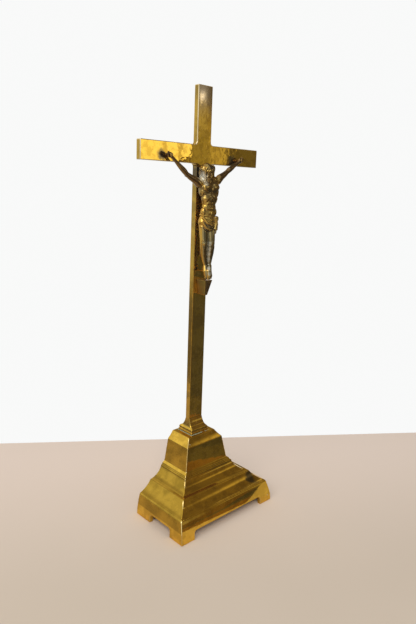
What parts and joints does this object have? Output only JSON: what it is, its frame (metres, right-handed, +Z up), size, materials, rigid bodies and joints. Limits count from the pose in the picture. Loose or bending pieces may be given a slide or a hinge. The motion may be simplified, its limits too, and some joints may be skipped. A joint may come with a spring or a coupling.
{
  "type": "standing crucifix",
  "caption": "Standing brass crucifix: a flat bar cross with a cast figure, nailed through hands and feet, bolted on a stepped hollow base with bracket feet and a flat back.",
  "frame": {"origin": "on the ground under the middle of the base's footprint", "axes": "+Z up along the shaft, +X along the crossbar to the viewer's right, the figure faces -Y"},
  "size_m": [0.1054, 0.051, 0.3],
  "materials": {
    "polished_brass": "old polish with brown tarnish in the hollows",
    "figure_brass": "worn polish, dark and verdigris in the recesses",
    "fixing_steel": "plain, dulled"
  },
  "bodies": {
    "base": {"base": "polished_brass"},
    "cross": {"cross": "polished_brass", "corpus": "figure_brass", "foot_rest": "figure_brass", "hand_nail_left": "figure_brass", "hand_nail_right": "figure_brass", "foot_nail": "figure_brass", "fixing_stud": "fixing_steel", "fixing_washer": "fixing_steel", "fixing_nut": "fixing_steel"}
  },
  "joints": [
    {"name": "cross_swivel", "type": "hinge", "parent": "base", "child": "cross", "pos_m": [0, 0.0165, 0.0566], "axis": [0, 0, 1], "continuous": true}
  ]
}
